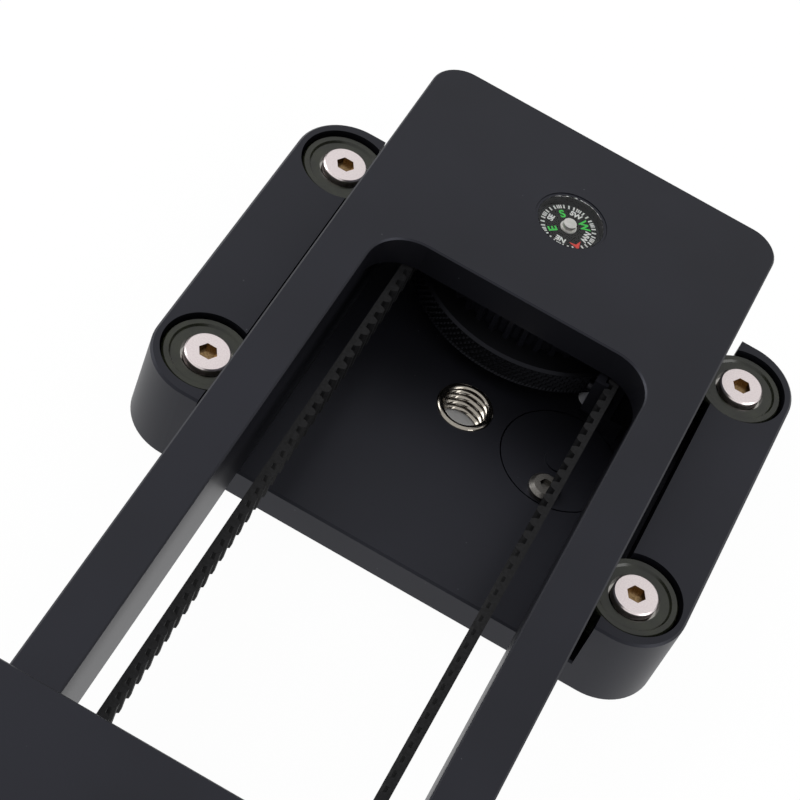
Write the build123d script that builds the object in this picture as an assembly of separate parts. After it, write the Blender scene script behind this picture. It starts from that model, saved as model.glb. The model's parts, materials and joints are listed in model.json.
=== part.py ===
from build123d import *
import math
import os

# Belt-coupled camera slider, drawn at full reach.
# A lower carriage screws onto a tripod, a frame rolls along it, and a camera
# platform rolls along the frame.  One toothed belt ties all three together.
# Millimetres, +Z up, +Y along the travel, towards the end with the compass.
# The origin is the mouth of the tripod thread, at the middle of the underside.

# Frame
frame_length = 250.0
frame_width = 70.0
frame_height = 20.9
frame_overhang = 16.0          # frame end beyond the carriage at full reach
frame_corner_radius = 6.0
plate_thickness = 6.3
rail_width = 8.5
end_land = 44.0                # solid plate at each end of the long window
window_corner_radius = 8.0
edge_chamfer = 0.3

# Carriage and platform blocks
block_width = 100.0
block_length = 74.0
block_corner_radius = 10.0
floor_thickness = 6.4
side_gap = 2.0                 # between frame flank and pod wall
floor_gap = 0.5                # between frame underside and carriage floor
platform_gap = 0.6             # between frame top and platform underside
platform_thickness = 6.4
block_chamfer = 0.4
plain_dome = 0.15              # rounding of a plain screw head
past = 1.0                     # cuts run on past the face

# Rollers
roller_radius = 7.7
roller_width = 6.6
roller_edge = 0.3              # bevel at the rim
roller_lip = 0.9               # raised land inside the bevel
roller_dish = 0.35
roller_standoff = 5.5          # roller axis outside the frame flank
roller_inset = 10.3            # roller axis inside the end of its block
lower_track_height = 6.5       # lower groove centre above the frame underside
upper_track_depth = 5.3        # upper groove centre below the frame top
running_gap = 0.3
recess_gap = 0.5
pivot_gap = 0.08
bearing_radius = 4.5
bearing_width = 4.0
inner_ring_radius = 3.0
washer_thickness = 0.5
bolt_radius = 2.0
bolt_head_radius = 4.0
bolt_head_height = 1.6
bolt_grip = 6.0                # thread length in the block
bolt_socket_flats = 3.0
bolt_socket_depth = 1.1
bolt_head_dome = 0.25
seat_radius = 2.8

# Belt and pulleys
belt_pitch = 3.0
belt_width = 6.0
belt_back = 0.9
tooth_height = 1.1
tooth_root_half = 0.95
tooth_waist_half = 0.82
tooth_tip_half = 0.45
pitch_line_offset = 0.381      # pitch line outside the tooth root
pulley_inset = 21.5            # pulley axis inside the end of the frame
strand_gap = 5.5               # belt's pitch line inside the rail
groove_gap = 0.08
belt_plate_gap = 0.4           # belt edge below the end plate
flange_gap = 0.2               # belt edge above the thumb wheel
pulley_plate_gap = 0.3
hub_radius = 12.0
thumbwheel_gap = 2.1           # between thumb wheel and rail
thumbwheel_thickness = 5.6
thumbwheel_chamfer = 0.5
dish_land = 4.6                # rim outside the dish
dish_width = 5.8
dish_depth = 1.2
axle_radius = 3.0
axle_head_radius = 5.0
axle_head_height = 1.8
axle_head_dome = 0.3
axle_socket_flats = 4.0
axle_socket_depth = 1.2
axle_grip = 2.8
axle_ring_radius = 4.3
pulley_bearing_radius = 6.0
pulley_bearing_width = 4.0
spacer_radius = 3.8
bore_shoulder_radius = 4.8
wheel_screw_radius = 1.25
wheel_screw_head_radius = 2.4
wheel_screw_head_height = 1.4
wheel_screw_socket_flats = 2.0
wheel_screw_socket_depth = 0.8
wheel_screw_circle = 9.4
wheel_screw_count = 3
wheel_screw_grip = 4.0
wheel_bore = 7.2
wheel_screw_flange = 2.6

# Belt clamps
clamp_cheek = 1.2
clamp_play = 0.3
clamp_length = 9.0
clamp_pulley_gap = 12.0        # carriage's clamp before the far pulley's axis
clamp_window_gap = 4.5         # platform's clamp inside the near end of the window
jaw_ribs = 3                   # ribs that lie between the belt's teeth
jaw_length = 7.0
jaw_thickness = 1.7
jaw_step = 3.4                 # jaw's middle before the middle of its cheek
rib_half = 0.4
rib_reach = 0.75
tongue_height = 1.8
clamp_foot_height = 1.6
clamp_post_height = 4.0        # foot of the carriage's clamp, screwed from below
foot_margin = 0.1              # foot beyond the screw head
clamp_screw_radius = 0.8
clamp_screw_head_radius = 1.5
clamp_screw_head_height = 1.0
clamp_screw_socket_flats = 1.5
clamp_screw_socket_depth = 0.6
clamp_screw_grip = 6.0
clamp_post_margin = 1.6        # solid foot beyond the tip of its screw
cross_screw_radius = 0.65
cross_screw_head_radius = 1.2
cross_screw_head_height = 0.9
cross_screw_socket_flats = 1.3
cross_screw_socket_depth = 0.5

# Carriage floor fittings
insert_radius = 5.2
insert_bore_radius = 3.97      # inside the crests of a 3/8-16 thread
accessory_bore_radius = 2.6    # inside the crests of a 1/4-20 thread
accessory_mouth_radius = 3.2
accessory_x = 18.6
cap_radius = 10.7
cap_thickness = 2.4
cap_gap = 0.25
cap_x = 18.9
cap_pin_radius = 2.7
cap_pin_rise = 0.3
cap_screw_reach = 7.6
cap_screw_radius = 1.5
cap_screw_head_radius = 2.85
cap_screw_head_height = 1.65
cap_screw_head_dome = 0.7
cap_screw_socket_flats = 2.0
cap_screw_socket_depth = 0.9
cap_screw_grip = 3.2
accessory_y = 17.1

# Platform fittings
stud_radius = 4.76             # 3/8-16 stud
stud_length = 8.0
stud_neck_radius = 4.2         # relief below the thread
stud_fit = 0.06
stud_head_radius = 8.0
stud_head_thickness = 2.6
pad_radius = 19.0
pad_thickness = 1.0
pad_sink = 0.6

# Compass
compass_radius = 6.65
compass_depth = 3.0
compass_fit = 0.05
compass_wall = 0.5
compass_floor = 0.4
card_radius = 5.4
card_thickness = 0.25
card_height = 0.55             # underside above the case floor
card_bell_radius = 1.2
card_bell_height = 1.1
card_rim_radius = 1.5
card_rim_height = 0.2
pin_radius = 0.35
pin_gap = 0.05
lens_thickness = 0.35
lens_sink = 0.15

# Places that follow from the sizes
frame_bottom = floor_thickness + floor_gap
frame_top = frame_bottom + frame_height
plate_bottom = frame_top - plate_thickness
frame_half = frame_width / 2
frame_far = block_length / 2 + frame_overhang
frame_centre = frame_far - frame_length / 2
window_half = frame_half - rail_width
window_half_length = frame_length / 2 - end_land
channel_half = frame_half + side_gap
lower_track = frame_bottom + lower_track_height
upper_track = frame_top - upper_track_depth
roller_x = frame_half + roller_standoff
roller_spacing = block_length - 2 * roller_inset
head_under = bearing_width / 2 + washer_thickness
carriage_top = lower_track + head_under + bolt_head_height
platform_bottom = upper_track - head_under - bolt_head_height
platform_underside = frame_top + platform_gap
platform_top = platform_underside + platform_thickness
platform_centre = 2 * frame_centre
pulley_teeth = 2 * round(math.pi * (window_half - strand_gap) / belt_pitch)
straight_teeth = round((frame_length - 2 * pulley_inset) / belt_pitch)
pulley_radius = pulley_teeth * belt_pitch / (2 * math.pi)
pulley_reach = straight_teeth * belt_pitch / 2
root_radius = pulley_radius - pitch_line_offset
back_radius = root_radius + belt_back
tip_radius = root_radius - tooth_height
thumbwheel_radius = window_half - thumbwheel_gap
dish_radius = thumbwheel_radius - dish_land
carriage_clamp_y = frame_centre + pulley_reach - clamp_pulley_gap - clamp_length / 2
platform_clamp_y = frame_centre - window_half_length + clamp_window_gap + clamp_length / 2
belt_top = plate_bottom - belt_plate_gap
belt_bottom = belt_top - belt_width
wheel_top = belt_bottom - flange_gap
wheel_bottom = wheel_top - thumbwheel_thickness
pulley_top = plate_bottom - pulley_plate_gap
axle_head_top = wheel_bottom - running_gap / 2

SIDES = {"left": -1, "right": 1}
ENDS = {"far": 1, "near": -1}


def turned(points):
    """Solid turned about the Z axis from a closed outline of radius and height."""
    outline = Polyline(*[(r, 0, z) for r, z in points], close=True)
    return revolve(make_face(outline), Axis.Z).solid()


def ring(outer, inner, low, high):
    return turned([(inner, low), (outer, low), (outer, high), (inner, high)])


def disc(radius, low, high):
    """Round bar standing on the Z axis between two heights."""
    return Pos(0, 0, low) * extrude(Circle(radius), high - low).solid()


def slab(width, length, low, high, corner=0.0):
    """Flat block centred on the Z axis, with rounded upright corners."""
    outline = RectangleRounded(width, length, corner) if corner else Rectangle(width, length)
    return Pos(0, 0, low) * extrude(outline, high - low).solid()


def brick(x0, x1, y0, y1, z0, z1):
    """Block between two corners."""
    return Pos((x0 + x1) / 2, (y0 + y1) / 2, z0) * extrude(Rectangle(x1 - x0, y1 - y0), z1 - z0).solid()


def save(name, *shapes):
    """Write one node; alike fasteners and rings go in as a group of separate solids."""
    solids = [s for shape in shapes for s in shape.solids()]
    whole = solids[0] if len(solids) == 1 else Compound(solids)
    export_step(whole, os.path.join("parts", name + ".step"))


def socket_screw(radius, grip, head_radius, head_height, flats, depth, dome=plain_dome):
    """Socket screw, head underside at the origin and head upwards."""
    crown = head_radius - dome
    screw = turned([(0, -grip), (radius, -grip), (radius, 0), (head_radius, 0),
                    (head_radius, head_height - dome), (crown, head_height), (0, head_height)])
    hexagon = RegularPolygon(flats / 2, 6, major_radius=False)
    return screw - Pos(0, 0, head_height - depth) * extrude(hexagon, depth)


def roller_spots(centre_y):
    """Name and place of the four roller axes of one block."""
    spots = {}
    for end, along in ENDS.items():
        for side, across in SIDES.items():
            spots[end + "_" + side] = (across * roller_x, centre_y + along * roller_spacing / 2)
    return spots


def roller():
    """Wheel with a bevelled rim and a dished face on its +Z side."""
    half = roller_width / 2
    shoulder = roller_radius - roller_edge
    land = shoulder - roller_lip
    return turned([(bearing_radius, -half), (shoulder, -half), (roller_radius, roller_edge - half),
                   (roller_radius, half - roller_edge), (shoulder, half), (land, half),
                   (land - roller_dish, half - roller_dish), (bearing_radius, half - roller_dish)])


def roller_block(thickness, rise):
    """Block with two side pods and four roller pockets, pods upwards and face at z = 0."""
    block = slab(block_width, block_length, 0, rise, block_corner_radius)
    rims = block.edges().group_by(Axis.Z)
    block = block.chamfer(block_chamfer, None, rims[0] + rims[-1])
    block = block - brick(-channel_half, channel_half, -block_length, block_length, thickness, 2 * rise)
    pocket_floor = rise - bolt_head_height - head_under - roller_width / 2 - running_gap
    ring_seat = rise - bolt_head_height - head_under - bearing_width / 2
    floor_rim = [e for e in block.edges().filter_by(Axis.X)
                 if abs(e.center().X) < 1 and abs(e.center().Z - thickness) < block_chamfer]
    block = block.chamfer(block_chamfer, None, floor_rim)
    for x, y in roller_spots(0).values():
        block = block - Pos(x, y, 0) * disc(roller_radius + recess_gap, pocket_floor, 2 * rise)
        block = block + Pos(x, y, 0) * disc(seat_radius, pocket_floor, ring_seat)
        block = block - Pos(x, y, 0) * disc(bolt_radius, ring_seat - bolt_grip, 2 * rise)
    return block


def roller_set(track, upwards):
    """Bolt, washer and bearing rings of one roller, head on the side that is named."""
    bolt = socket_screw(bolt_radius, head_under + bearing_width / 2 + bolt_grip, bolt_head_radius,
                        bolt_head_height, bolt_socket_flats, bolt_socket_depth, bolt_head_dome)
    bolt = Pos(0, 0, head_under) * bolt
    washer = ring(seat_radius, bolt_radius, bearing_width / 2, head_under)
    inner = ring(inner_ring_radius, bolt_radius, -bearing_width / 2, bearing_width / 2)
    outer = ring(bearing_radius, inner_ring_radius + pivot_gap, -bearing_width / 2, bearing_width / 2)
    flip = Rot(0, 0, 0) if upwards else Rot(180, 0, 0)
    return [Pos(0, 0, track) * flip * s for s in (bolt, washer, inner, outer)]


def save_rollers(block, centre_y, track, upwards):
    """Write the four rollers of a block with everything that they turn on."""
    bolt, washer, inner, outer = roller_set(track, upwards)
    spots = roller_spots(centre_y)
    for name, (x, y) in spots.items():
        save(f"{block}_roller_{name}", Pos(x, y, track) * Rot(0 if upwards else 180, 0, 0) * roller())
        save(f"{block}_bearing_{name}", Pos(x, y, 0) * outer)
    save(f"{block}_bearing_inner_rings", *[Pos(x, y, 0) * inner for x, y in spots.values()])
    save(f"{block}_roller_washers", *[Pos(x, y, 0) * washer for x, y in spots.values()])
    save(f"{block}_roller_bolts", *[Pos(x, y, 0) * bolt for x, y in spots.values()])


def tooth_gap_near(y):
    """Place of the gap between two belt teeth that is nearest to a place along the belt."""
    first = frame_centre - pulley_reach
    return first + round((y - first) / belt_pitch) * belt_pitch


def belt_clamp(cheek_y, jaw_y, seat, foot_height, outwards):
    """Bracket and jaw of a clamp on the strand at +X, with the screw that joins them.

    The foot's seat is at a height; a negative foot height hangs it below the seat.
    It points away from the belt loop or into it.  The places of its two screws come
    last, as x and y.
    """
    jaw_face = tip_radius - clamp_play
    jaw_back = jaw_face - jaw_thickness
    cheek_in = back_radius + clamp_play
    cheek_out = cheek_in + clamp_cheek
    low = belt_bottom - clamp_play - tongue_height
    foot_reach = 2 * (clamp_screw_head_radius + foot_margin)
    foot_face = seat + foot_height
    foot_x = (cheek_out - clamp_cheek / 2, cheek_out + foot_reach - clamp_cheek / 2)
    if not outwards:
        foot_x = (cheek_in - foot_reach, cheek_in)
    y0, y1 = cheek_y - clamp_length / 2, cheek_y + clamp_length / 2
    bracket = brick(cheek_in, cheek_out, y0, y1, min(low, seat), max(belt_top, seat))
    bracket = bracket + brick(*foot_x, y0, y1, min(seat, foot_face), max(seat, foot_face))
    ends = jaw_y - jaw_length / 2, jaw_y + jaw_length / 2
    jaw = brick(jaw_back, jaw_face, *ends, low, belt_top)
    jaw = jaw + brick(jaw_face, cheek_in, *ends, low, low + tongue_height)
    for i in range(jaw_ribs):
        y = jaw_y + (i - (jaw_ribs - 1) / 2) * belt_pitch
        jaw = jaw + brick(jaw_face, jaw_face + rib_reach, y - rib_half, y + rib_half, low, belt_top)
    screw_y = (max(y0, ends[0]) + min(y1, ends[1])) / 2
    across = Pos(jaw_back, screw_y, low + tongue_height / 2) * Rot(0, -90, 0)
    grip = cheek_out - jaw_back
    hole = across * disc(cross_screw_radius, -grip, 0)
    screw = across * socket_screw(
        cross_screw_radius, grip, cross_screw_head_radius, cross_screw_head_height,
        cross_screw_socket_flats, cross_screw_socket_depth)
    inset = clamp_screw_head_radius + foot_margin
    spots = [(sum(foot_x) / 2, y) for y in (y0 + inset, y1 - inset)]
    return bracket - hole, jaw - hole, screw, spots


def foot_screw(x, y, z, head_up):
    """Screw of a clamp's foot with its head seat at a height, and the hole of its shank."""
    spot = Pos(x, y, z) * Rot(0 if head_up else 180, 0, 0)
    screw = socket_screw(
        clamp_screw_radius, clamp_screw_grip, clamp_screw_head_radius, clamp_screw_head_height,
        clamp_screw_socket_flats, clamp_screw_socket_depth)
    return spot * screw, spot * disc(clamp_screw_radius, -clamp_screw_grip, 0)


def floor_cap():
    """Flush round cap with its centre pin and its retaining screw."""
    low = floor_thickness - cap_thickness
    cap = disc(cap_radius, low, floor_thickness)
    cap = cap + disc(cap_pin_radius, floor_thickness, floor_thickness + cap_pin_rise)
    screw = Pos(0, -cap_screw_reach, floor_thickness) * socket_screw(
        cap_screw_radius, cap_screw_grip, cap_screw_head_radius, cap_screw_head_height,
        cap_screw_socket_flats, cap_screw_socket_depth, cap_screw_head_dome)
    hole = Pos(0, -cap_screw_reach, floor_thickness) * disc(cap_screw_radius, -cap_screw_grip, 0)
    seat = disc(cap_radius + cap_gap, low, floor_thickness)
    return cap - hole, screw, seat, hole


def make_carriage():
    """Lower carriage with its tripod thread, floor cap and belt clamp."""
    block = roller_block(floor_thickness, carriage_top)
    block = block - disc(insert_radius, 0, floor_thickness)
    flare = accessory_mouth_radius - accessory_bore_radius
    accessory = turned([
        (0, 0), (accessory_bore_radius, 0), (accessory_bore_radius, floor_thickness - flare),
        (accessory_mouth_radius, floor_thickness), (0, floor_thickness)])
    block = block - Pos(accessory_x, accessory_y, 0) * accessory
    cap, cap_screw, cap_seat, cap_hole = floor_cap()
    cap_spot = Pos(cap_x, 0, 0)
    block = block - cap_spot * cap_seat - cap_spot * cap_hole
    jaw_y = tooth_gap_near(carriage_clamp_y - jaw_step)
    bracket, jaw, cross_screw, spots = belt_clamp(
        carriage_clamp_y, jaw_y, floor_thickness, clamp_post_height, True)
    sink = floor_thickness + clamp_post_height - clamp_screw_grip - clamp_post_margin
    screws = [cross_screw]
    for x, y in spots:
        screw, hole = foot_screw(x, y, sink, False)
        screws.append(screw)
        bracket = bracket - hole
        block = block - hole - Pos(x, y, 0) * disc(clamp_screw_head_radius + foot_margin, 0, sink)
    save("carriage_block", block)
    save("tripod_thread_insert", ring(insert_radius, insert_bore_radius, 0, floor_thickness))
    save("floor_cap", cap_spot * cap)
    save("floor_cap_screw", cap_spot * cap_screw)
    save("carriage_belt_clamp", bracket)
    save("carriage_clamp_jaw", jaw)
    save("carriage_clamp_screws", *screws)
    save_rollers("carriage", 0.0, lower_track, True)


def make_platform():
    """Camera platform, an upturned block, with its stud, pad and belt clamp."""
    place = Pos(0, platform_centre, 0)
    block = roller_block(platform_thickness, platform_top - platform_bottom)
    block = Pos(0, 0, platform_top) * Rot(180, 0, 0) * block
    block = block - disc(stud_radius + stud_fit, platform_underside, platform_top)
    stud_seat = platform_underside + stud_head_thickness
    block = block - disc(stud_head_radius, platform_underside, stud_seat)
    pad_floor = platform_top - pad_sink
    block = place * (block - disc(pad_radius, pad_floor, platform_top))
    turn = Rot(0, 0, 180)
    jaw_y = -tooth_gap_near(platform_clamp_y)
    bracket, jaw, cross_screw, spots = belt_clamp(
        -platform_clamp_y, jaw_y, platform_underside, -clamp_foot_height, False)
    screws = [cross_screw]
    for x, y in spots:
        screw, hole = foot_screw(x, y, platform_underside - clamp_foot_height, False)
        screws.append(screw)
        bracket = bracket - hole
        block = block - turn * hole
    save("platform_block", block)
    pad_top = pad_floor + pad_thickness
    stud_top = platform_top + stud_length
    stud = turned([
        (0, platform_underside), (stud_head_radius, platform_underside), (stud_head_radius, stud_seat),
        (stud_neck_radius, stud_seat), (stud_neck_radius, pad_top), (stud_radius, pad_top),
        (stud_radius, stud_top), (0, stud_top)])
    save("camera_stud", place * stud)
    save("platform_pad", place * ring(pad_radius, stud_radius + running_gap, pad_floor, pad_top))
    save("platform_belt_clamp", turn * bracket)
    save("platform_clamp_jaw", turn * jaw)
    save("platform_clamp_screws", *[turn * screw for screw in screws])
    save_rollers("platform", platform_centre, upper_track, False)


def track_groove(height):
    """Square groove along both flanks that the rollers run in."""
    floor_x = roller_x - roller_radius - running_gap
    half = roller_width / 2 + running_gap
    groove = brick(floor_x, frame_half + past, -frame_length, frame_length, height - half, height + half)
    return groove + mirror(groove, Plane.YZ)


def make_frame():
    """Frame with its long window, hollow underside, four tracks and the compass pocket."""
    frame = slab(frame_width, frame_length, frame_bottom, frame_top, frame_corner_radius)
    rims = frame.edges().group_by(Axis.Z)
    frame = frame.chamfer(edge_chamfer, None, rims[0] + rims[-1])
    frame = frame - slab(2 * window_half, 2 * frame_length, frame_bottom - past, plate_bottom)
    frame = frame - slab(2 * window_half, 2 * window_half_length, plate_bottom - past, frame_top + past,
                         window_corner_radius)
    window_rim = frame.faces().sort_by(Axis.Z)[-1].inner_wires()[0].edges()
    frame = frame.chamfer(edge_chamfer, None, window_rim)
    frame = frame - track_groove(lower_track) - track_groove(upper_track)
    for along in ENDS.values():
        boss = ring(axle_ring_radius, axle_radius, pulley_top, plate_bottom)
        bore = disc(axle_radius, plate_bottom, plate_bottom + axle_grip)
        spot = Pos(0, along * pulley_reach, 0)
        frame = frame + spot * boss - spot * bore
    pocket = disc(compass_radius + compass_fit, frame_top - compass_depth, frame_top + past)
    frame = frame - Pos(0, pulley_reach, 0) * pocket
    save("slider_frame", Pos(0, frame_centre, 0) * frame)


def make_compass():
    """Button compass: cup, pivot pin, turning card with its bell, and flat lens."""
    spot = Pos(0, frame_centre + pulley_reach, frame_top - compass_depth)
    rim = compass_depth - lens_sink
    inner = compass_radius - compass_wall
    case = turned([(0, 0), (compass_radius, 0), (compass_radius, rim), (inner, rim),
                   (inner, compass_floor), (0, compass_floor)])
    card_low = compass_floor + card_height
    card_high = card_low + card_thickness
    rim_top = card_high + card_rim_height
    bell_top = card_high + card_bell_height
    pin = disc(pin_radius, compass_floor, rim_top)
    bore = pin_radius + pin_gap
    bore_top = rim_top + pin_gap
    card = turned([
        (bore, card_low), (card_radius, card_low), (card_radius, card_high), (card_rim_radius, card_high),
        (card_rim_radius, rim_top), (card_bell_radius, rim_top), (card_bell_radius, bell_top),
        (0, bell_top), (0, bore_top), (bore, bore_top)])
    lens = disc(inner - compass_fit, rim - lens_thickness, rim)
    save("compass_case", spot * case)
    save("compass_pin", spot * pin)
    save("compass_card", spot * card)
    save("compass_lens", spot * lens)


def tooth_outline(gap):
    """Half tooth from root to root, as places along the pitch line and depths below it."""
    root = pitch_line_offset + gap
    tip = root + tooth_height
    waist = root + tooth_height / 2
    return [(-tooth_root_half - gap, root), (-tooth_waist_half - gap, waist), (-tooth_tip_half - gap, tip),
            (tooth_tip_half + gap, tip), (tooth_waist_half + gap, waist), (tooth_root_half + gap, root)]


def on_belt_line(along, depth):
    """Point at a length along the belt's pitch line and a depth inside it."""
    strand = straight_teeth * belt_pitch
    bend = pulley_teeth * belt_pitch / 2
    along = along % (2 * (strand + bend))
    half, along = divmod(along, strand + bend)
    sign = 1 if half == 0 else -1
    if along <= strand:
        return sign * (pulley_radius - depth), sign * (along - strand / 2)
    angle = (along - strand) / pulley_radius
    radius = pulley_radius - depth
    return sign * radius * math.cos(angle), sign * (strand / 2 + radius * math.sin(angle))


def make_belt():
    """Closed toothed belt round both pulleys, every tooth at its pitch."""
    teeth = 2 * straight_teeth + pulley_teeth
    inside = []
    for i in range(teeth):
        centre = (i + 0.5) * belt_pitch
        inside += [on_belt_line(centre + along, depth) for along, depth in tooth_outline(0)]
    back = SlotCenterToCenter(2 * pulley_reach, 2 * back_radius, rotation=90)
    teeth_face = make_face(Polyline(*inside, close=True))
    belt = extrude(back - teeth_face, belt_width).solid()
    save("toothed_belt", Pos(0, frame_centre, belt_bottom) * belt)


def pulley():
    """Toothed drum with a hub that carries the thumb wheel and two bearing seats."""
    step = 2 * math.pi / pulley_teeth
    outline = []
    for i in range(pulley_teeth):
        for along, depth in tooth_outline(groove_gap):
            angle = (i + 0.5) * step + along / pulley_radius
            radius = pulley_radius - depth
            outline.append((radius * math.cos(angle), radius * math.sin(angle)))
    drum = Pos(0, 0, wheel_top) * extrude(make_face(Polyline(*outline, close=True)), pulley_top - wheel_top)
    body = drum.solid() + disc(hub_radius, wheel_bottom + wheel_screw_flange, wheel_top)
    body = body - disc(bore_shoulder_radius, wheel_bottom, pulley_top)
    body = body - disc(pulley_bearing_radius, wheel_bottom, axle_head_top + pulley_bearing_width)
    body = body - disc(pulley_bearing_radius, pulley_top - pulley_bearing_width, pulley_top)
    for i in range(wheel_screw_count):
        hole = disc(wheel_screw_radius, wheel_bottom, wheel_bottom + wheel_screw_flange + wheel_screw_grip)
        body = body - Rot(0, 0, i * 360 / wheel_screw_count) * Pos(wheel_screw_circle, 0, 0) * hole
    return body


def thumbwheel():
    """Heavy wheel under the pulley, reached by thumb past the end of the frame."""
    rim = thumbwheel_radius - thumbwheel_chamfer
    low, high = wheel_bottom, wheel_top
    flange = low + wheel_screw_flange
    wheel = turned([(wheel_bore, low), (rim, low), (thumbwheel_radius, low + thumbwheel_chamfer),
                    (thumbwheel_radius, high - thumbwheel_chamfer), (rim, high), (hub_radius, high),
                    (hub_radius, flange), (wheel_bore, flange)])
    wheel = wheel - ring(dish_radius, dish_radius - dish_width, low - past, low + dish_depth)
    for i in range(wheel_screw_count):
        turn = Rot(0, 0, i * 360 / wheel_screw_count)
        wheel = wheel - turn * Pos(wheel_screw_circle, 0, 0) * disc(wheel_screw_radius, low, high)
        sink = disc(wheel_screw_head_radius, low - past, low + wheel_screw_head_height)
        wheel = wheel - turn * Pos(wheel_screw_circle, 0, 0) * sink
    return wheel


def make_end(name, along):
    """Pulley, thumb wheel, bearings and shoulder screw of one end of the frame."""
    place = Pos(0, frame_centre + along * pulley_reach, 0)
    if along < 0:
        place = place * Rot(0, 0, 180)
    lower = (axle_head_top, axle_head_top + pulley_bearing_width)
    upper = (pulley_top - pulley_bearing_width, pulley_top)
    screw_length = wheel_screw_flange - wheel_screw_head_height + wheel_screw_grip
    screw = socket_screw(wheel_screw_radius, screw_length, wheel_screw_head_radius, wheel_screw_head_height,
                         wheel_screw_socket_flats, wheel_screw_socket_depth)
    screw = Pos(wheel_screw_circle, 0, wheel_bottom + wheel_screw_head_height) * Rot(180, 0, 0) * screw
    axle_length = plate_bottom + axle_grip - axle_head_top
    axle = Pos(0, 0, axle_head_top) * Rot(180, 0, 0) * socket_screw(
        axle_radius, axle_length, axle_head_radius, axle_head_height,
        axle_socket_flats, axle_socket_depth, axle_head_dome)
    save(f"{name}_pulley", place * pulley())
    save(f"{name}_thumbwheel", place * thumbwheel())
    save(f"{name}_thumbwheel_screws",
         *[place * Rot(0, 0, i * 360 / wheel_screw_count) * screw for i in range(wheel_screw_count)])
    race = axle_ring_radius + pivot_gap
    outer_rings = [place * ring(pulley_bearing_radius, race, a, b) for a, b in (lower, upper)]
    inner_rings = [place * ring(axle_ring_radius, axle_radius, a, b) for a, b in (lower, upper)]
    save(f"{name}_pulley_bearings", *outer_rings)
    save(f"{name}_axle_rings", *inner_rings)
    save(f"{name}_axle_spacer", place * ring(spacer_radius, axle_radius, lower[1], upper[0]))
    save(f"{name}_axle", place * axle)


os.makedirs("parts", exist_ok=True)
make_carriage()
make_frame()
make_compass()
make_belt()
for end_name, end_sign in ENDS.items():
    make_end(end_name, end_sign)
make_platform()
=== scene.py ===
# %% [markdown]
# A camera slider: a lower carriage for the tripod, a windowed frame that rolls on it, and
# a platform for the camera that rolls on the frame. Every rigid piece comes from the packed
# CAD model. This lesson gives those pieces their finishes, adds the small things that are
# too fine for the CAD model, and lights them like a catalogue picture.

# %% Load the frame
import json
import math

import bpy
from mathutils import Matrix, Vector


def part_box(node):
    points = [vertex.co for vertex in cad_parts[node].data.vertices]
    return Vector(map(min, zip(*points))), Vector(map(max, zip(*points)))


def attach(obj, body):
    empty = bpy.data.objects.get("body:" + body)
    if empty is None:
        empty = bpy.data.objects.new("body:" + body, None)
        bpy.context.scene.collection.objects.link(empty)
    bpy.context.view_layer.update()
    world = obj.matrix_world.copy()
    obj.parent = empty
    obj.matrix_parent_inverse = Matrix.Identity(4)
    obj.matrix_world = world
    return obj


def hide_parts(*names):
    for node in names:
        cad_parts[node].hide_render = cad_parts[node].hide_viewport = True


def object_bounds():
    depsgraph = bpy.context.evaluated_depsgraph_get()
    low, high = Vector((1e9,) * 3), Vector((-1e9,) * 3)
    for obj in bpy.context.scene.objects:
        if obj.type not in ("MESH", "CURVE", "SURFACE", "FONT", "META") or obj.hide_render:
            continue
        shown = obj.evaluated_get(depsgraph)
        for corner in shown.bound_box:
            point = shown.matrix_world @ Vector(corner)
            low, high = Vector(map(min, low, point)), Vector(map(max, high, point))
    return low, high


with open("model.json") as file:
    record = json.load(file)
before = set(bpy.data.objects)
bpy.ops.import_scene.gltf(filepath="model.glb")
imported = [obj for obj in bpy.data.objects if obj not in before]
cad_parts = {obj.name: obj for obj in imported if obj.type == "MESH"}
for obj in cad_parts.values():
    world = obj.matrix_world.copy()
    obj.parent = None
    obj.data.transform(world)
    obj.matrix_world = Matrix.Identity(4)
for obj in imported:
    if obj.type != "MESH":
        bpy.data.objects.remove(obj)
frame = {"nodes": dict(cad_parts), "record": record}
cad_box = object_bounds()
nodes = frame["nodes"]
MM = 0.001

# %% [markdown]
# The camera stands where the photographer's stood: about 40 cm away, half way up the sky,
# and turned a quarter of a right angle about its own axis. A place, a point to aim at and
# a roll say that more plainly than a matrix of nine numbers.

# %% Camera
camera_place = Vector((18.22, -284.56, 332.27)) * MM
camera_aim = Vector((-10.85, -0.43, 0.0)) * MM
camera_roll = 25.04
camera_lens = 111.45

camera_data = bpy.data.cameras.new("camera")
camera_data.lens = camera_lens
camera_data.sensor_width = 36.0
camera_data.clip_start = 0.01
camera = bpy.data.objects.new("camera", camera_data)
bpy.context.scene.collection.objects.link(camera)
aim = (camera_aim - camera_place).to_track_quat("-Z", "Y")
roll = Matrix.Rotation(math.radians(camera_roll), 4, "Z")
camera.matrix_world = Matrix.Translation(camera_place) @ aim.to_matrix().to_4x4() @ roll
bpy.context.scene.camera = camera
bpy.context.scene.view_settings.view_transform = "Standard"
print("camera is", round((camera_aim - camera_place).length / MM), "mm from the carriage")

# %% [markdown]
# Finishes are built from nodes, so one small function adds a node, sets it and links it.
# Colours are written as the sRGB hex values a painter or a screen would use, and one
# function turns them into the linear light that the renderer works in.

# %% Helpers for finishes
def linear(colour):
    """Turn an sRGB hex colour into linear red, green, blue and alpha."""
    parts = [int(colour[i:i + 2], 16) / 255 for i in (1, 3, 5)]
    return [p / 12.92 if p <= 0.04045 else ((p + 0.055) / 1.055) ** 2.4 for p in parts] + [1.0]


def add_node(tree, kind, inputs, **settings):
    """Add one shader node with its settings, and set or link each of its inputs."""
    made = tree.nodes.new("ShaderNode" + kind)
    for name, value in settings.items():
        setattr(made, name, value)
    for name, value in inputs.items():
        if isinstance(value, bpy.types.NodeSocket):
            tree.links.new(value, made.inputs[name])
        else:
            made.inputs[name].default_value = value
    return made


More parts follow.
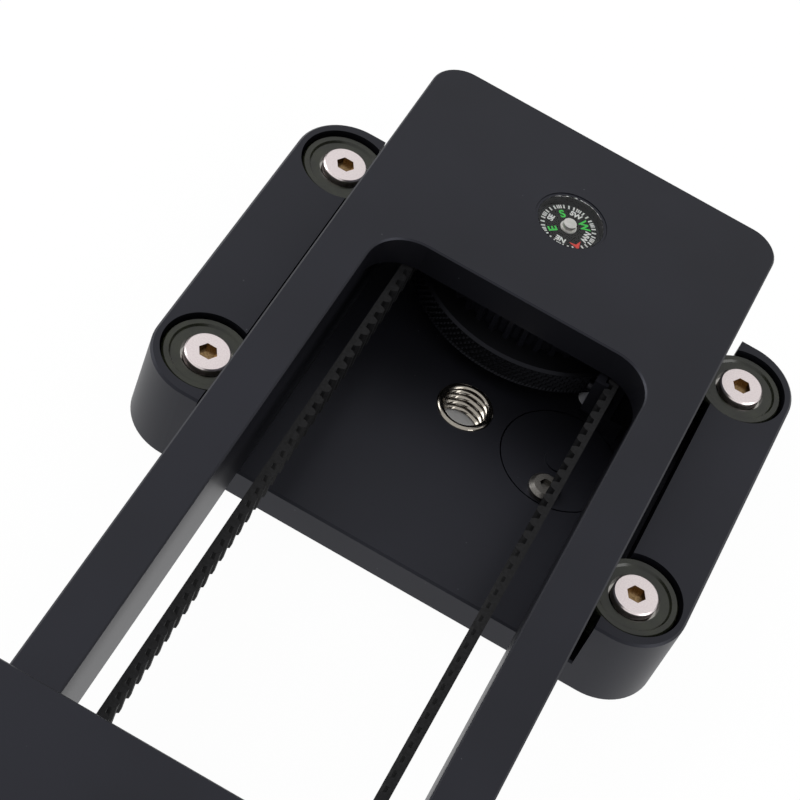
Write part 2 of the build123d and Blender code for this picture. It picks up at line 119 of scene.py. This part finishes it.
def new_finish(name, **sockets):
    """Start a material with one Principled shader and its constant values."""
    finish = bpy.data.materials.new(name)
    finish.use_nodes = True
    shader = finish.node_tree.nodes["Principled BSDF"]
    for socket, value in sockets.items():
        shader.inputs[socket.replace("_", " ")].default_value = value
    return finish, finish.node_tree, shader


def per_mm(size):
    """Texture scale whose grain is that many millimetres wide."""
    return 1 / (size * MM)


def grain(tree, size, detail=2.0, stretch=(1, 1, 1)):
    """Noise with grains of a real size, drawn on the object's own coordinates."""
    place = add_node(tree, "TexCoord", {}).outputs["Object"]
    placed = add_node(tree, "Mapping", {"Vector": place, "Scale": stretch}).outputs["Vector"]
    noise = add_node(tree, "TexNoise", {"Vector": placed, "Scale": per_mm(size), "Detail": detail})
    return noise.outputs["Fac"]


def raise_by(tree, shader, height, depth):
    """Let a pattern raise the surface by up to a depth in millimetres."""
    bump = add_node(tree, "Bump", {"Height": height, "Strength": 1.0, "Distance": depth * MM})
    tree.links.new(bump.outputs["Normal"], shader.inputs["Normal"])


def two_tones(tree, mask, low, high, start=0.0, end=1.0):
    """Colour that goes from one tone to another as a mask rises between two values."""
    ramp = add_node(tree, "ValToRGB", {"Fac": mask})
    ramp.color_ramp.elements[0].position = start
    ramp.color_ramp.elements[0].color = linear(low)
    ramp.color_ramp.elements[1].position = end
    ramp.color_ramp.elements[1].color = linear(high)
    return ramp.outputs["Color"]


# %% [markdown]
# The frame, the carriage and the platform are aluminium, bead blasted and dyed black in
# the anodising bath. The dyed oxide skin hides the metal, so metallic stays at zero and
# the colour is nearly black: what the eye sees on it is a soft reflection of the room.
# Blasting scatters that reflection, so roughness is in the middle and a fine dimple breaks
# it up. The dimples are about 0.05 mm, too fine for this picture, so they are drawn
# 0.3 mm wide. The dye takes unevenly, in clouds of a few centimetres, and handling leaves
# a little dust, which is drawn as a few pale specks. The thumb wheels get a darker copy
# of this finish with a weaker reflection: painted shade for the shadow they sit in. Their
# rolled diamonds scatter more light, so their roughness is higher and they reflect wider.

# %% Black anodised aluminium
def black_anodised_aluminium(name, low, high, spread, level):
    finish, tree, shader = new_finish(name, Metallic=0.0, Roughness=spread, IOR=1.5,
                                      Specular_IOR_Level=level, Specular_Tint=linear("#E9ECFF"))
    dimples = grain(tree, 0.3, detail=3.0)
    cloud = grain(tree, 22.0)
    body = two_tones(tree, cloud, low, high, 0.3, 0.7)
    place = add_node(tree, "TexCoord", {}).outputs["Object"]
    dots = add_node(tree, "TexVoronoi", {"Vector": place, "Scale": per_mm(4.5), "Randomness": 1.0})
    specks = two_tones(tree, dots.outputs["Distance"], "#FFFFFF", "#000000", 0.016, 0.024)
    dusty = add_node(tree, "Mix", {"A": body, "B": linear("#56585C"), "Factor": specks}, data_type="RGBA")
    tree.links.new(dusty.outputs["Result"], shader.inputs["Base Color"])
    raise_by(tree, shader, dimples, 0.004)
    return finish


# %% [markdown]
# The bolts and screws are steel, turned on a lathe: stainless for most, black oxide from
# an alkaline salt bath for the belt clamps, and a darker grey for the screw in the floor
# cap, which is painted shade for the shadow it stands in.
# Steel is a bare metal, so metallic is full and its colour is its reflection. Turning
# leaves rings round the axis that spread each highlight a little; the rings of many
# screws in one node have many centres, so a fine noise stands for them.

# %% Turned steel
def turned_steel(name, low, high, spread):
    finish, tree, shader = new_finish(name, Metallic=1.0, Roughness=spread)
    turning = grain(tree, 0.25, detail=4.0)
    tree.links.new(two_tones(tree, turning, low, high, 0.3, 0.7), shader.inputs["Base Color"])
    raise_by(tree, shader, turning, 0.002)
    return finish


# %% [markdown]
# The hexagon sockets of the roller bolts are coloured brown: painted shade and a painted
# warm reflection inside the recess. A mask finds them: the four bolts of a block stand at
# the corners of a rectangle, so folding the coordinates at its middle brings all four axes
# onto one. What is near that axis and below the flat top of the head is inside the socket.

# %% Bolt steel with painted shade in the sockets
SOCKET_REACH = 1.9


def bolt_steel(name, centre, corner, top):
    """Stainless steel that is brown near each of four mirrored axes, below a height: painted shade and a
    painted warm reflection in the sockets.
    """
    finish, tree, shader = new_finish(name, Metallic=1.0, Roughness=0.3)
    turning = grain(tree, 0.25, detail=4.0)
    steel = two_tones(tree, turning, "#E6DADB", "#F6ECEB", 0.3, 0.7)
    # Brown in the sockets: painted shade and a painted warm reflection.
    socket_shade = two_tones(tree, turning, "#6A5238", "#A08660", 0.3, 0.7)
    place = add_node(tree, "TexCoord", {}).outputs["Object"]
    away = add_node(tree, "VectorMath", {0: place, 1: centre}, operation="SUBTRACT").outputs["Vector"]
    folded = add_node(tree, "VectorMath", {0: away}, operation="ABSOLUTE").outputs["Vector"]
    flat = add_node(tree, "VectorMath", {0: folded, 1: (1, 1, 0)}, operation="MULTIPLY").outputs["Vector"]
    apart = add_node(tree, "VectorMath", {0: flat, 1: corner}, operation="DISTANCE").outputs["Value"]
    near = add_node(tree, "Math", {0: apart, 1: SOCKET_REACH * MM}, operation="LESS_THAN").outputs["Value"]
    height = add_node(tree, "SeparateXYZ", {"Vector": place}).outputs["Z"]
    below = add_node(tree, "Math", {0: height, 1: top}, operation="LESS_THAN").outputs["Value"]
    in_socket = add_node(tree, "Math", {0: near, 1: below}, operation="MULTIPLY").outputs["Value"]
    mixed = add_node(tree, "Mix", {"A": steel, "B": socket_shade, "Factor": in_socket}, data_type="RGBA")
    tree.links.new(mixed.outputs["Result"], shader.inputs["Base Color"])
    raise_by(tree, shader, turning, 0.002)
    return finish


# %% [markdown]
# The thread insert is a coil of diamond-shaped stainless wire, drawn and polished, so it
# is smoother than the screws. The warm tint of its colour is a painted reflection of the
# hole around it.

# %% Polished wire and ground bearing steel
def polished_wire():
    finish, tree, shader = new_finish("polished_steel_wire", Metallic=1.0, Roughness=0.14)
    drawing = grain(tree, 0.3, stretch=(1, 1, 4))
    # Warm grey: the warm tint is a painted reflection of the hole around the insert.
    tree.links.new(two_tones(tree, drawing, "#8F8A82", "#B8B1A6"), shader.inputs["Base Color"])
    return finish


def bearing_steel():
    finish, tree, shader = new_finish("ground_bearing_steel", Metallic=1.0, Roughness=0.16)
    grinding = grain(tree, 0.3, detail=1.0)
    tree.links.new(two_tones(tree, grinding, "#9A9894", "#B6B3AE"), shader.inputs["Base Color"])
    return finish


# %% [markdown]
# The rollers are cast polyurethane, hard and a little see-through: dark olive where they
# are thick and yellow-green where light comes through a thin rim. A glossy dielectric
# with some transmission gives both without a second material.

# %% Cast polyurethane
def cast_polyurethane():
    finish, tree, shader = new_finish("cast_polyurethane", Roughness=0.26, IOR=1.5, Transmission_Weight=0.1,
                                      Specular_IOR_Level=0.4, Coat_Weight=0.2, Coat_Roughness=0.1)
    swirl = grain(tree, 3.0)
    tree.links.new(two_tones(tree, swirl, "#15170F", "#232619", 0.3, 0.7), shader.inputs["Base Color"])
    raise_by(tree, shader, grain(tree, 0.8), 0.006)
    return finish


# %% [markdown]
# The belt is moulded rubber with a woven face. It is darker than the aluminium, dull, and
# fuzzy at the cut edge where the teeth show; a coarse and a fine grain give it that.

# %% Moulded rubber
def moulded_rubber(name, low, high, grain_size):
    finish, tree, shader = new_finish(name, Roughness=0.7, Specular_IOR_Level=0.2)
    crumb = grain(tree, grain_size, detail=5.0)
    tree.links.new(two_tones(tree, crumb, low, high, 0.35, 0.7), shader.inputs["Base Color"])
    raise_by(tree, shader, crumb, 0.02)
    return finish


# %% [markdown]
# The compass has a printed card under a clear acrylic lens. Acrylic's index is 1.49, and
# bare acrylic would lay a grey veil of the white room over the card. This lens is coated
# against glare. On a clear shader the specular tint sets how much the surface reflects
# face on, so a dark tint is the coating. The lens is all transmission but for a smear of
# handling. The card's hub is metal: the mask is the distance from the compass pin, worked
# out from the node's box. Printing ink is thick and a little uneven.

# %% Compass finishes
def clear_acrylic():
    finish, tree, shader = new_finish("clear_acrylic", Roughness=0.0, IOR=1.49, Transmission_Weight=1.0,
                                      Specular_IOR_Level=0.1, Specular_Tint=linear("#404040"))
    smears = grain(tree, 3.0, stretch=(1, 3, 1))
    tree.links.new(two_tones(tree, smears, "#F4F6F6", "#FFFFFF", 0.3, 0.7), shader.inputs["Base Color"])
    return finish


def printed_card(low, high):
    """Black card with a bright hub out to 1.5 mm from the middle of its box."""
    finish, tree, shader = new_finish("printed_card", Roughness=0.5, Specular_IOR_Level=0.15)
    middle = (low + high) / 2
    place = add_node(tree, "TexCoord", {}).outputs["Object"]
    away = add_node(tree, "VectorMath", {0: place, 1: middle}, operation="SUBTRACT").outputs["Vector"]
    flat = add_node(tree, "VectorMath", {0: away, 1: (1, 1, 0)}, operation="MULTIPLY").outputs["Vector"]
    reach = add_node(tree, "VectorMath", {0: flat}, operation="LENGTH").outputs["Value"]
    hub = add_node(tree, "Math", {0: reach, 1: 1.52 * MM}, operation="LESS_THAN").outputs["Value"]
    tree.links.new(two_tones(tree, hub, "#060607", "#D8D6D2"), shader.inputs["Base Color"])
    tree.links.new(hub, shader.inputs["Metallic"])
    return finish


def printing_ink(name, thin, full):
    finish, tree, shader = new_finish(name, Roughness=0.5)
    fleck = grain(tree, 0.2)
    tree.links.new(two_tones(tree, fleck, thin, full, 0.3, 0.6), shader.inputs["Base Color"])
    return finish


# %% [markdown]
# Each CAD node gets the finish of its own material slot. The record already says which
# slot a node has, so the table below has one line for a slot and none for a node.

# %% Dress the nodes
BOLT_HEAD_RADIUS = 4.0
card_low, card_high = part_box("compass_card")
finishes = {
    "black_anodised_aluminium": black_anodised_aluminium("black_anodised_aluminium", "#09090C", "#0F0F14",
                                                         0.42, 0.38),
    "stainless_steel": turned_steel("stainless_steel", "#E6DADB", "#F6ECEB", 0.3),
    "bearing_steel": bearing_steel(),
    "black_acetal": cast_polyurethane(),
    "polyurethane_belt": moulded_rubber("moulded_rubber", "#0C0C0D", "#18181A", 0.5),
    "rubber_pad": moulded_rubber("pad_rubber", "#17181A", "#202124", 0.8),
    "compass_card_plastic": printed_card(card_low, card_high),
    "clear_lens": clear_acrylic(),
}
slots = {part["node"]: part["material_slot"] for part in frame["record"]["subparts"]}
for name, node in nodes.items():
    node.data.materials.clear()
    node.data.materials.append(finishes[slots[name]])
for block in ("carriage", "platform"):
    bolts_low, bolts_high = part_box(block + "_roller_bolts")
    middle = (bolts_low + bolts_high) / 2
    corner = (bolts_high - bolts_low) / 2 - Vector((1, 1, 1)) * BOLT_HEAD_RADIUS * MM
    corner.z = 0
    bolts = nodes[block + "_roller_bolts"]
    bolts.data.materials[0] = bolt_steel(block + "_bolt_steel", middle, corner, bolts_high.z - 0.05 * MM)
dark_screws = turned_steel("black_oxide_steel", "#222224", "#323236", 0.4)
for block in ("carriage", "platform"):
    nodes[block + "_clamp_screws"].data.materials[0] = dark_screws
# The floor cap screw is a darker grey steel: painted shade for the shadow it stands in.
nodes["floor_cap_screw"].data.materials[0] = turned_steel("shaded_floor_screw_steel", "#64625F", "#7E7B77", 0.35)
# A darker copy with a weaker reflection for the thumb wheels: painted shade for the shadow they sit in.
shaded_wheel_skin = black_anodised_aluminium("shaded_black_anodised_aluminium", "#050506", "#09090A", 0.5, 0.22)
print("dressed", len(nodes), "nodes in", len(finishes) + 3, "finishes")

# %% [markdown]
# New pieces are plain meshes of vertices and faces in the slider's own frame. Two
# helpers make an object and let it ride on a body, with the slot its finish belongs to.

# %% Helpers for pieces
def new_piece(name, points, faces, finish, body):
    """Make a mesh object from points in millimetres and let it ride on a body."""
    mesh = bpy.data.meshes.new(name)
    mesh.from_pydata([Vector(p) * MM for p in points], [], faces)
    mesh.validate()
    mesh.materials.append(finish)
    piece = bpy.data.objects.new(name, mesh)
    bpy.context.scene.collection.objects.link(piece)
    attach(piece, body)
    return piece


def screw_wall(crest, root, pitch, low, high, around=72, rows_a_turn=8):
    """Grid of points on a threaded wall, from its low end to its high end."""
    rows = round((high - low) / pitch * rows_a_turn)
    points = []
    for i in range(rows + 1):
        z = low + (high - low) * i / rows
        for j in range(around):
            turn = j / around
            wave = abs(((z / pitch - turn) % 1) * 2 - 1)
            flank = min(1, max(0, wave * 1.5 - 0.25))
            radius = root + (crest - root) * flank
            points.append((radius * math.cos(2 * math.pi * turn), radius * math.sin(2 * math.pi * turn), z))
    return points, rows


def ring(radius, z, around):
    """Points on a level circle round the slider's own axis."""
    turns = [2 * math.pi * j / around for j in range(around)]
    return [Vector((radius * math.cos(turn), radius * math.sin(turn), z)) for turn in turns]


def grid_faces(rows, around, start=0, flip=False):
    """Quads between neighbouring rings of points."""
    faces = []
    for i in range(rows):
        for j in range(around):
            a = start + i * around + j
            b = start + i * around + (j + 1) % around
            quad = (a, b, b + around, a + around)
            faces.append(quad[::-1] if flip else quad)
    return faces


# %% [markdown]
# The tripod hole is lined with a wire thread insert: turn on turn of wire whose section
# is a diamond. Sixteen turns to the inch make a pitch of 1.5875 mm. The wall is one
# grid whose radius rises and falls with height and angle, which is what a thread is.

# %% Thread insert
THREAD_PITCH = 25.4 / 16
LIP_RISE = 0.35
LIP_ROWS = 8
insert_low, insert_high = (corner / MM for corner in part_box("tripod_thread_insert"))
insert_outer = (insert_high.x - insert_low.x) / 2
crest_radius = 3.97
root_radius = 4.9
around = 72
wall, rows = screw_wall(crest_radius, root_radius, THREAD_PITCH, insert_low.z, insert_high.z, around)
points = wall + ring(insert_outer, insert_low.z, around) + ring(insert_outer, insert_high.z, around)
outer_start = len(wall)
top_start = rows * around
faces = grid_faces(rows, around, 0, flip=True) + grid_faces(1, around, outer_start)
for j in range(around):
    k = (j + 1) % around
    faces.append((j, outer_start + j, outer_start + k, k)[::-1])
    faces.append((top_start + j, top_start + k, outer_start + around + k, outer_start + around + j)[::-1])
lip_start = len(points)
for i in range(LIP_ROWS + 1):
    swing = math.pi * i / LIP_ROWS
    reach = (crest_radius + insert_outer) / 2 - (insert_outer - crest_radius) / 2 * math.cos(swing)
    points += ring(reach, insert_high.z + LIP_RISE * math.sin(swing), around)
faces += grid_faces(LIP_ROWS, around, lip_start, flip=True)
insert = new_piece("wire_thread_insert", points, faces, polished_wire(), "carriage")
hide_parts("tripod_thread_insert")
print("thread insert has", rows, "rows of", around, "points")

# %% [markdown]
# Each thumb wheel has a knurled rim. Knurling rolls two sets of slanting grooves into the
# metal, and the diamonds between them stand up where no groove passes. A copy of the CAD
# wheel loses its plain band and gets a grid in its place. On the grid the distance to
# the nearest groove of each slant sets the depth, and four points to a diamond are enough
# for its flat faces. The grooves are 1.3 mm apart, as coarse as the photograph shows.

# %% Copy a node without some of its faces
def node_without(name, unwanted):
    """Points in millimetres and faces of a node, leaving out the faces that a test names."""
    mesh = nodes[name].data
    points = [v.co / MM for v in mesh.vertices]
    faces = []
    for face in mesh.polygons:
        corners = [points[i] for i in face.vertices]
        if not unwanted(corners, face.normal):
            faces.append(tuple(face.vertices))
    return points, faces


def append_grid(points, faces, wall, rows, around, flip=False):
    """Add a grid of points and its quads to a piece."""
    start = len(points)
    points += wall
    faces += grid_faces(rows, around, start, flip)


# %% Knurled thumb wheels
KNURLS_AROUND = 118
KNURLS_UP = 3
KNURL_DEPTH = 0.35
RIM_CHAMFER = 0.5


def knurled_band(centre, radius, low, high):
    """Grid of points on an upright band with diamonds that reach the radius."""
    around = KNURLS_AROUND * 4
    rows = KNURLS_UP * 4
    band = []
    for i in range(rows + 1):
        up = i / 4
        for j in range(around):
            along = j / 4
            rising = abs((along + up) % 1 - 0.5) * 2
            falling = abs((along - up) % 1 - 0.5) * 2
            depth = max(rising, falling) * KNURL_DEPTH
            if i in (0, rows):
                depth = 0
            turn = 2 * math.pi * j / around
            reach = radius - depth
            band.append(Vector((centre.x + reach * math.cos(turn), centre.y + reach * math.sin(turn),
                                low + (high - low) * i / rows)))
    return band, rows, around


def knurled_wheel(end):
    """Thumb wheel of one end with its band of diamonds."""
    node = end + "_thumbwheel"
    low, high = (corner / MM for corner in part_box(node))
    centre = (low + high) / 2
    radius = (high.x - low.x) / 2

    def on_rim(corners, normal):
        out = [math.hypot(c.x - centre.x, c.y - centre.y) for c in corners]
        return min(out) > radius - 0.1 and abs(normal.z) < 0.3

    points, faces = node_without(node, on_rim)
    band, rows, around = knurled_band(centre, radius, low.z + RIM_CHAMFER, high.z - RIM_CHAMFER)
    append_grid(points, faces, band, rows, around)
    wheel = new_piece("knurled_" + node, points, faces, shaded_wheel_skin, end + "_thumbwheel_unit")
    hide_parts(node)
    return len(faces)


print("thumb wheels have", knurled_wheel("far"), "and", knurled_wheel("near"), "faces")

# %% [markdown]
# The stud on the platform takes a ball head, so it has the same thread as the tripod hole,
# cut on the outside. The CAD stud's smooth wall makes way for a threaded one, which starts
# and ends plain so that the thread runs out as a die leaves it.

# %% Camera stud
STUD_CREST = 4.76
STUD_ROOT = 3.95
STUD_NECK = 4.3
STUD_RUNOUT = 0.8


def threaded_stud():
    """Camera stud with a cut thread above the pad."""
    node = "camera_stud"
    low, high = (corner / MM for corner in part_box(node))
    centre = (low + high) / 2

    def on_wall(corners, normal):
        out = [math.hypot(c.x - centre.x, c.y - centre.y) for c in corners]
        return min(out) > STUD_CREST - 0.1 and max(out) < STUD_CREST + 0.1 and abs(normal.z) < 0.3

    def on_top(corners, normal):
        return min(c.z for c in corners) > high.z - 0.01

    def unwanted(corners, normal):
        return on_wall(corners, normal) or on_top(corners, normal)

    def on_neck(p):
        return math.hypot(p.x - centre.x, p.y - centre.y) < STUD_NECK and p.z < high.z - 1

    points, faces = node_without(node, unwanted)
    thread_low = max(p.z for p in points if on_neck(p))
    wall, rows = screw_wall(STUD_CREST, STUD_ROOT, THREAD_PITCH, thread_low, high.z, around)
    shaped = []
    for x, y, z in wall:
        reach = math.hypot(x, y)
        runout = min(1, (z - thread_low) / STUD_RUNOUT, (high.z - z) / STUD_RUNOUT)
        limit = STUD_ROOT + (STUD_CREST - STUD_ROOT) * max(0, runout)
        share = min(reach, limit) / reach
        shaped.append(Vector((centre.x + x * share, centre.y + y * share, z)))
    start = len(points)
    append_grid(points, faces, shaped, rows, around)
    top_row = start + rows * around
    faces.append(tuple(range(top_row, top_row + around)))
    stud = new_piece("threaded_camera_stud", points, faces, finishes[slots[node]], "platform")
    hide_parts(node)
    return rows


print("camera stud has", threaded_stud(), "rows of thread")

# %% [markdown]
# The compass card is printed with ticks in eight groups, the letters of the winds and a
# red arrow at north. Flat meshes a few hundredths of a millimetre thick stand for ink.
# Blender's own text objects make the letters, turned so their tops point outwards.

# %% Compass printing
north = -46.0
white_ink = printing_ink("white_ink", "#C9CCCB", "#F2F2EF")
green_ink = printing_ink("green_ink", "#22B83A", "#3BE052")
red_ink = printing_ink("red_ink", "#C92A1E", "#F04335")
dial_centre = (card_low + card_high) / 2 / MM
card_face = card_low.z / MM + 0.25   # the card is 0.25 mm thick
ink_height = 0.03


def print_letters(word, angle, radius, size, finish):
    """Print a word on the card with its top pointing outwards at an angle."""
    text = bpy.data.curves.new("print_" + word, "FONT")
    text.body = word
    text.size = size * MM
    text.extrude = ink_height / 2 * MM
    text.offset = 0.06 * MM
    text.align_x = "CENTER"
    text.align_y = "CENTER"
    holder = bpy.data.objects.new("print_" + word, text)
    bpy.context.scene.collection.objects.link(holder)
    mesh = bpy.data.meshes.new_from_object(holder)
    bpy.data.objects.remove(holder)
    turn = math.radians(angle)
    out = Vector((math.cos(turn), math.sin(turn), 0))
    spot = Vector((dial_centre.x, dial_centre.y, card_face + ink_height / 2)) + out * radius
    mesh.transform(Matrix.Translation(spot * MM) @ Matrix.Rotation(turn - math.pi / 2, 4, "Z"))
    mesh.materials.clear()
    mesh.materials.append(finish)
    piece = bpy.data.objects.new("print_" + word, mesh)
    bpy.context.scene.collection.objects.link(piece)
    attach(piece, "compass_card")


def ink_bars(name, bars, finish):
    """Print straight bars, each given by its angle, inner and outer radius and width."""
    points, faces = [], []
    for angle, inner, outer, width in bars:
        turn = math.radians(angle)
        out = Vector((math.cos(turn), math.sin(turn), 0))
        side = Vector((-math.sin(turn), math.cos(turn), 0)) * width / 2
        start = len(points)
        for z in (card_face, card_face + ink_height):
            centre = Vector((dial_centre.x, dial_centre.y, z))
            points += [centre + out * inner - side, centre + out * outer - side,
                       centre + out * outer + side, centre + out * inner + side]
        faces.append([start + i for i in (4, 5, 6, 7)])
        faces += [[start + i, start + (i + 1) % 4, start + 4 + (i + 1) % 4, start + 4 + i] for i in range(4)]
    return new_piece(name, points, faces, finish, "compass_card")


for step, word in enumerate(("", "NW", "W", "SW", "S", "SE", "E", "NE")):
    angle = north + 45 * step
    if len(word) == 2:
        print_letters(word, angle, 3.5, 1.5, white_ink)
    elif word:
        print_letters(word, angle, 3.05, 2.3, green_ink)
ticks = []
for step in range(8):
    wind = north + 45 * step
    if step:
        ticks += [(wind + 4.2 * part, 4.4, 5.2, 0.24) for part in (-1, 0, 1)]
    ticks += [(wind + 11.25 * part, 4.4, 5.2, 0.3) for part in (1, 2, 3)]
ink_bars("compass_ticks", ticks, white_ink)


def north_arrow():
    """Red arrowhead that points outwards at north."""
    turn = Matrix.Rotation(math.radians(north), 3, "Z")
    outline = [(5.2, 0), (3.4, 1.1), (4.0, 0), (3.4, -1.1)]
    points = []
    for z in (card_face, card_face + ink_height):
        points += [turn @ Vector((x, y, 0)) + Vector((dial_centre.x, dial_centre.y, z)) for x, y in outline]
    faces = [(4, 5, 6, 7)] + [(i, (i + 1) % 4, 4 + (i + 1) % 4, 4 + i) for i in range(4)]
    return new_piece("north_arrow", points, faces, red_ink, "compass_card")


north_arrow()
print("compass printed with", len(ticks), "ticks")

# %% [markdown]
# A catalogue picture puts the product on a white sweep. The floor's own white shows to
# the camera and in reflections through the Light Path node, and a share of the real
# shading is kept so that the object still has its shadow. Under the tripod hole the
# carriage covers the floor, so the floor keeps all of its shading there and is dark.

# %% Floor and backdrop
COVERED_REACH = 12.0
GLOW_SHARE = 0.97


def white_sweep():
    finish, tree, shader = new_finish("white_sweep", Roughness=0.9)
    shader.inputs["Base Color"].default_value = linear("#F2F2F2")
    path = add_node(tree, "LightPath", {}).outputs
    direct = add_node(tree, "Math", {0: path["Is Camera Ray"], 1: path["Is Glossy Ray"]}, operation="ADD")
    seen = add_node(tree, "Math", {0: direct.outputs["Value"], 1: path["Is Transmission Ray"]},
                    operation="ADD")
    place = add_node(tree, "TexCoord", {}).outputs["Object"]
    reach = add_node(tree, "VectorMath", {0: place}, operation="LENGTH").outputs["Value"]
    bare = add_node(tree, "Math", {0: reach, 1: COVERED_REACH * MM}, operation="GREATER_THAN")
    lit = add_node(tree, "Math", {0: bare.outputs["Value"], 1: GLOW_SHARE}, operation="MULTIPLY")
    share = add_node(tree, "Math", {0: seen.outputs["Value"], 1: lit.outputs["Value"]}, operation="MULTIPLY",
                     use_clamp=True)
    glow = add_node(tree, "Emission", {"Color": (1, 1, 1, 1), "Strength": 1.0})
    both = add_node(tree, "MixShader", {"Fac": share.outputs["Value"], 1: shader.outputs["BSDF"],
                                        2: glow.outputs["Emission"]})
    tree.links.new(both.outputs["Shader"], tree.nodes["Material Output"].inputs["Surface"])
    return finish


FLOOR_REACH = 3.0
floor_mesh = bpy.data.meshes.new("floor")
floor_corners = [(x * FLOOR_REACH, y * FLOOR_REACH, 0) for x, y in ((-1, -1), (1, -1), (1, 1), (-1, 1))]
floor_mesh.from_pydata(floor_corners, [], [(0, 1, 2, 3)])
floor_mesh.materials.append(white_sweep())
floor = bpy.data.objects.new("floor", floor_mesh)
floor.location.z = cad_box[0].z - 0.2 * MM
bpy.context.scene.collection.objects.link(floor)

# %% [markdown]
# The light is a pair of large soft boxes, one on each side of the slider, in a pale room.
# The left one is stronger and draws the soft gradient down the rounded corners, and the
# room's own light gives the flat tops their even sheen.

# %% Light
def soft_box(name, place, target, size, power):
    """Hang a square area lamp that faces a point."""
    lamp = bpy.data.lights.new(name, "AREA")
    lamp.shape = "SQUARE"
    lamp.size = size
    lamp.energy = power
    holder = bpy.data.objects.new(name, lamp)
    holder.location = place
    holder.rotation_euler = (Vector(target) - Vector(place)).to_track_quat("-Z", "Y").to_euler()
    bpy.context.scene.collection.objects.link(holder)


soft_box("left_box", (-0.95, 0.2, 0.75), (0, 0, 0), 0.9, 9)
soft_box("right_box", (1.0, -0.2, 0.7), (0, 0, 0), 0.7, 4)


def pale_room():
    """World that is white to the camera and lights the slider softly."""
    world = bpy.data.worlds.new("pale_room")
    world.use_nodes = True
    tree = world.node_tree
    path = add_node(tree, "LightPath", {})
    seen = add_node(tree, "Math", {0: path.outputs["Is Camera Ray"], 1: path.outputs["Is Transmission Ray"]},
                    operation="MAXIMUM")
    strength = add_node(tree, "MapRange", {"Value": seen.outputs["Value"], "To Min": 0.8, "To Max": 1.0})
    sky = tree.nodes["Background"]
    sky.inputs["Color"].default_value = (1, 1, 1, 1)
    tree.links.new(strength.outputs["Result"], sky.inputs["Strength"])
    bpy.context.scene.world = world


pale_room()
